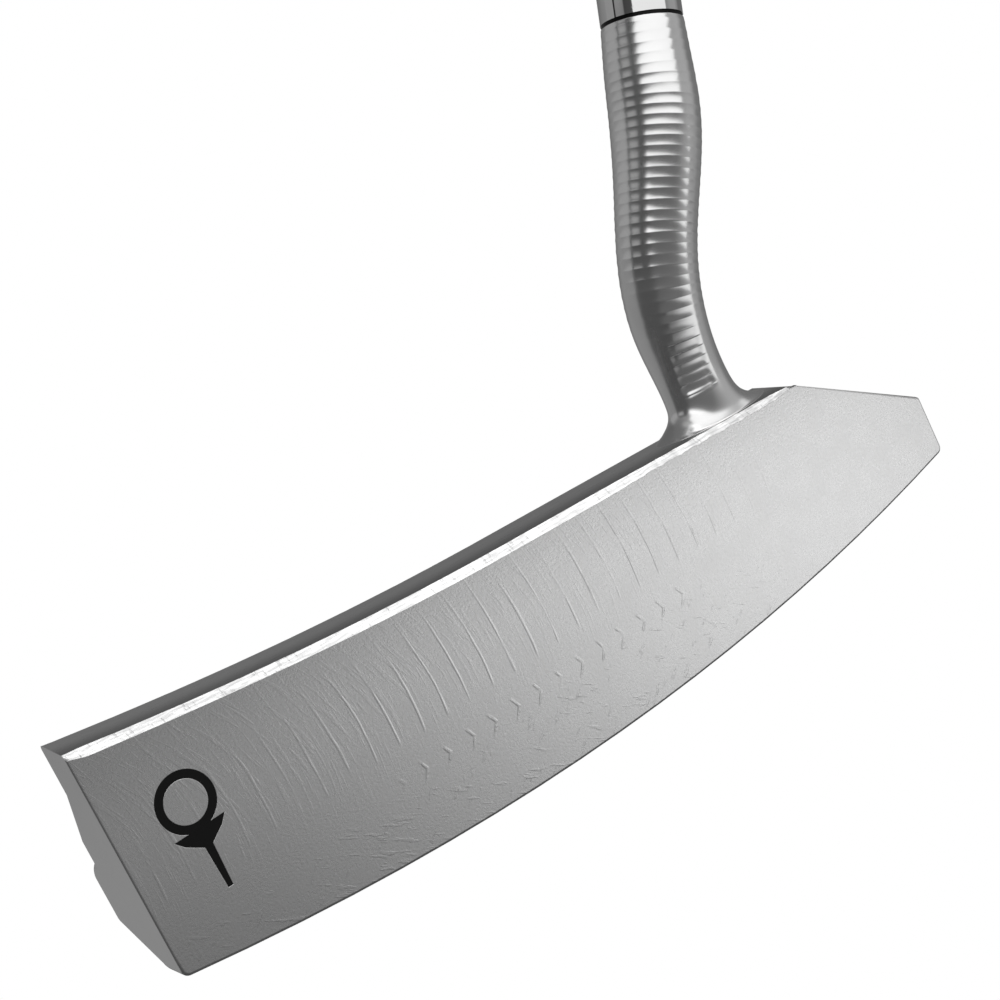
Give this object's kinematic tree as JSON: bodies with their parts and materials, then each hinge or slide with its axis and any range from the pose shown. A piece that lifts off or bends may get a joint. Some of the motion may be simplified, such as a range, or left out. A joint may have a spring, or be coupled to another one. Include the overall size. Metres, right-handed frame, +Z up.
{
  "type": "blade putter",
  "caption": "Right-handed blade golf putter with a milled cavity-back head, curved neck, stepped chrome shaft and rubber pistol grip.",
  "frame": {"origin": "centre of the strike face", "axes": "-Y straight out of the strike face, +X from toe to heel, +Z up the face; the shaft leans towards +X at a lie of 71 degrees and towards -Y by the 3 degree loft"},
  "size_m": [0.3758, 0.0738, 0.8192],
  "materials": {
    "milled_steel": "satin milled stainless steel with fine cutter arcs",
    "black_enamel": "black enamel infill",
    "ring_black": "gloss black",
    "epoxy": "cured clear epoxy",
    "shaft_chrome": "bright chrome plate",
    "tape": "buff double-sided tape",
    "grip_rubber": "matt moulded rubber",
    "cap_rubber": "satin moulded rubber"
  },
  "bodies": {
    "root": {"putter_head": "milled_steel", "face_mark_paint": "black_enamel", "sight_line_paint": "black_enamel", "shaft_ring": "ring_black", "shaft_epoxy": "epoxy", "shaft": "shaft_chrome", "grip_tape": "tape", "grip": "grip_rubber", "grip_cap": "cap_rubber"}
  },
  "joints": []
}
